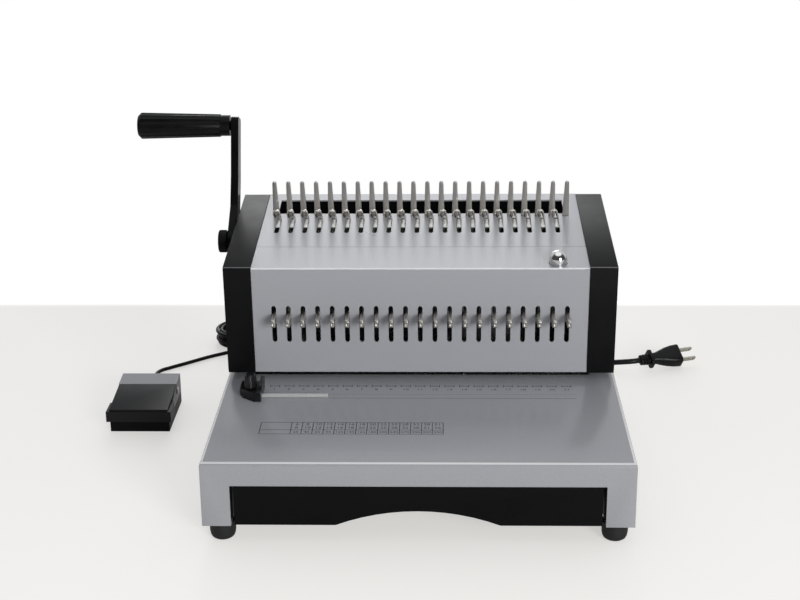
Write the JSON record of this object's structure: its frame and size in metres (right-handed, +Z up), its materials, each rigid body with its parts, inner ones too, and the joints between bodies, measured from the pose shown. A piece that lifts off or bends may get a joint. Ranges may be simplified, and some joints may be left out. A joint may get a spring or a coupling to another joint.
{
  "type": "electric comb binding machine",
  "caption": "Desktop punch and comb binder: sloping punch tower on a paper table, row of comb fingers and hooks, side lever, chip drawer and foot pedal.",
  "frame": {"origin": "on the desk surface under the middle of the machine with its pedal, cords left out", "axes": "+X to the right seen from the paper table, +Y towards the back, +Z up"},
  "size_m": [0.6378, 0.5318, 0.3095],
  "materials": {
    "silver_paint": "satin silver paint",
    "black_plastic": "fine grained black",
    "black_enamel": "satin black",
    "chrome": "polished",
    "satin_steel": "satin",
    "plain_steel": "plain",
    "rubber": "matt black",
    "grey_paint": "satin grey",
    "motor_paint": "satin grey"
  },
  "bodies": {
    "machine": {"base_cover": "silver_paint", "foot_front_left": "rubber", "foot_front_right": "rubber", "foot_rear_left": "rubber", "foot_rear_right": "rubber", "front_cover": "silver_paint", "deck_cover": "silver_paint", "end_cap_left": "black_plastic", "end_cap_right": "black_plastic", "chassis_frame": "plain_steel", "die_block": "plain_steel", "drive_motor": "motor_paint", "finger_plate": "satin_steel", "comb_trough": "black_enamel", "guide_rail": "satin_steel", "rear_panel": "black_plastic", "pedal_base": "black_plastic", "pedal_cover": "grey_paint", "pedal_pin": "satin_steel", "mains_lead_inner": "rubber", "mains_lead_outer": "rubber", "mains_coil": "rubber", "mains_plug": "black_plastic", "pedal_lead_inner": "rubber", "pedal_lead_outer": "rubber", "pedal_coil": "rubber"},
    "drawer": {"chip_drawer": "black_enamel"},
    "lever": {"lever_arm": "black_enamel", "lever_grip": "black_plastic", "lever_knob": "black_plastic", "lever_shaft": "plain_steel"},
    "hooks": {"hook_plate": "chrome"},
    "button": {"punch_button": "chrome"},
    "ram": {"punch_ram": "plain_steel"},
    "crank": {"eccentric_shaft": "plain_steel"},
    "switch": {"mains_switch": "black_plastic"},
    "treadle": {"pedal_treadle": "rubber"},
    "guide": {"guide_block": "black_plastic"},
    "clamp_knob": {"guide_knob": "black_plastic"},
    "pull_01": {"pull_tab_01": "chrome"},
    "pull_02": {"pull_tab_02": "chrome"},
    "pull_03": {"pull_tab_03": "chrome"},
    "pull_04": {"pull_tab_04": "chrome"},
    "pull_05": {"pull_tab_05": "chrome"},
    "pull_06": {"pull_tab_06": "chrome"},
    "pull_07": {"pull_tab_07": "chrome"},
    "pull_08": {"pull_tab_08": "chrome"},
    "pull_09": {"pull_tab_09": "chrome"},
    "pull_10": {"pull_tab_10": "chrome"},
    "pull_11": {"pull_tab_11": "chrome"},
    "pull_12": {"pull_tab_12": "chrome"},
    "pull_13": {"pull_tab_13": "chrome"},
    "pull_14": {"pull_tab_14": "chrome"},
    "pull_15": {"pull_tab_15": "chrome"},
    "pull_16": {"pull_tab_16": "chrome"},
    "pull_17": {"pull_tab_17": "chrome"},
    "pull_18": {"pull_tab_18": "chrome"},
    "pull_19": {"pull_tab_19": "chrome"},
    "pull_20": {"pull_tab_20": "chrome"},
    "pull_21": {"pull_tab_21": "chrome"}
  },
  "joints": [
    {"name": "drawer_slide", "type": "slide", "parent": "machine", "child": "drawer", "axis": [0, -1, 0], "range_m": [0, 0.2]},
    {"name": "lever_swing", "type": "hinge", "parent": "machine", "child": "lever", "pos_m": [-0.12915, 0.09137, 0.18998], "axis": [1, 0, 0], "range_deg": [0, 70]},
    {"name": "hook_slide", "type": "slide", "parent": "machine", "child": "hooks", "axis": [0, -0.9956, -0.0933], "range_m": [0, 0.0138]},
    {"name": "button_press", "type": "slide", "parent": "machine", "child": "button", "axis": [0, 0.0933, -0.9956], "range_m": [0, 0.003], "stiffness_N_per_m": 400, "springref_m": -0.003},
    {"name": "ram_slide", "type": "slide", "parent": "machine", "child": "ram", "axis": [0, 0, -1], "range_m": [0, 0.02]},
    {"name": "crank_turn", "type": "hinge", "parent": "machine", "child": "crank", "pos_m": [0.06715, 0.04335, 0.155], "axis": [1, 0, 0], "range_deg": [0, 180]},
    {"name": "switch_rock", "type": "hinge", "parent": "machine", "child": "switch", "pos_m": [0.12715, 0.1779, 0.045], "axis": [1, 0, 0], "range_deg": [0, 14]},
    {"name": "treadle_press", "type": "hinge", "parent": "machine", "child": "treadle", "pos_m": [-0.22635, 0.08835, 0.024], "axis": [1, 0, 0], "range_deg": [0, 7], "stiffness_Nm_per_rad": 0.6, "springref_deg": -6.88},
    {"name": "guide_slide", "type": "slide", "parent": "machine", "child": "guide", "axis": [1, 0, 0], "range_m": [0, 0.055]},
    {"name": "knob_turn", "type": "hinge", "parent": "guide", "child": "clamp_knob", "pos_m": [-0.09605, -0.06065, 0.09], "axis": [0, 0, 1], "range_deg": [0, 180]},
    {"name": "pull_01_slide", "type": "slide", "parent": "ram", "child": "pull_01", "axis": [0, -1, 0], "range_m": [0, 0.006]},
    {"name": "pull_02_slide", "type": "slide", "parent": "ram", "child": "pull_02", "axis": [0, -1, 0], "range_m": [0, 0.006]},
    {"name": "pull_03_slide", "type": "slide", "parent": "ram", "child": "pull_03", "axis": [0, -1, 0], "range_m": [0, 0.006]},
    {"name": "pull_04_slide", "type": "slide", "parent": "ram", "child": "pull_04", "axis": [0, -1, 0], "range_m": [0, 0.006]},
    {"name": "pull_05_slide", "type": "slide", "parent": "ram", "child": "pull_05", "axis": [0, -1, 0], "range_m": [0, 0.006]},
    {"name": "pull_06_slide", "type": "slide", "parent": "ram", "child": "pull_06", "axis": [0, -1, 0], "range_m": [0, 0.006]},
    {"name": "pull_07_slide", "type": "slide", "parent": "ram", "child": "pull_07", "axis": [0, -1, 0], "range_m": [0, 0.006]},
    {"name": "pull_08_slide", "type": "slide", "parent": "ram", "child": "pull_08", "axis": [0, -1, 0], "range_m": [0, 0.006]},
    {"name": "pull_09_slide", "type": "slide", "parent": "ram", "child": "pull_09", "axis": [0, -1, 0], "range_m": [0, 0.006]},
    {"name": "pull_10_slide", "type": "slide", "parent": "ram", "child": "pull_10", "axis": [0, -1, 0], "range_m": [0, 0.006]},
    {"name": "pull_11_slide", "type": "slide", "parent": "ram", "child": "pull_11", "axis": [0, -1, 0], "range_m": [0, 0.006]},
    {"name": "pull_12_slide", "type": "slide", "parent": "ram", "child": "pull_12", "axis": [0, -1, 0], "range_m": [0, 0.006]},
    {"name": "pull_13_slide", "type": "slide", "parent": "ram", "child": "pull_13", "axis": [0, -1, 0], "range_m": [0, 0.006]},
    {"name": "pull_14_slide", "type": "slide", "parent": "ram", "child": "pull_14", "axis": [0, -1, 0], "range_m": [0, 0.006]},
    {"name": "pull_15_slide", "type": "slide", "parent": "ram", "child": "pull_15", "axis": [0, -1, 0], "range_m": [0, 0.006]},
    {"name": "pull_16_slide", "type": "slide", "parent": "ram", "child": "pull_16", "axis": [0, -1, 0], "range_m": [0, 0.006]},
    {"name": "pull_17_slide", "type": "slide", "parent": "ram", "child": "pull_17", "axis": [0, -1, 0], "range_m": [0, 0.006]},
    {"name": "pull_18_slide", "type": "slide", "parent": "ram", "child": "pull_18", "axis": [0, -1, 0], "range_m": [0, 0.006]},
    {"name": "pull_19_slide", "type": "slide", "parent": "ram", "child": "pull_19", "axis": [0, -1, 0], "range_m": [0, 0.006]},
    {"name": "pull_20_slide", "type": "slide", "parent": "ram", "child": "pull_20", "axis": [0, -1, 0], "range_m": [0, 0.006]},
    {"name": "pull_21_slide", "type": "slide", "parent": "ram", "child": "pull_21", "axis": [0, -1, 0], "range_m": [0, 0.006]}
  ],
  "couplings": [
    {"joint": "hook_slide", "follows": "lever_swing", "m_per_rad": 0.01125},
    {"joint": "crank_turn", "follows": "ram_slide", "rad_per_m": 157}
  ]
}
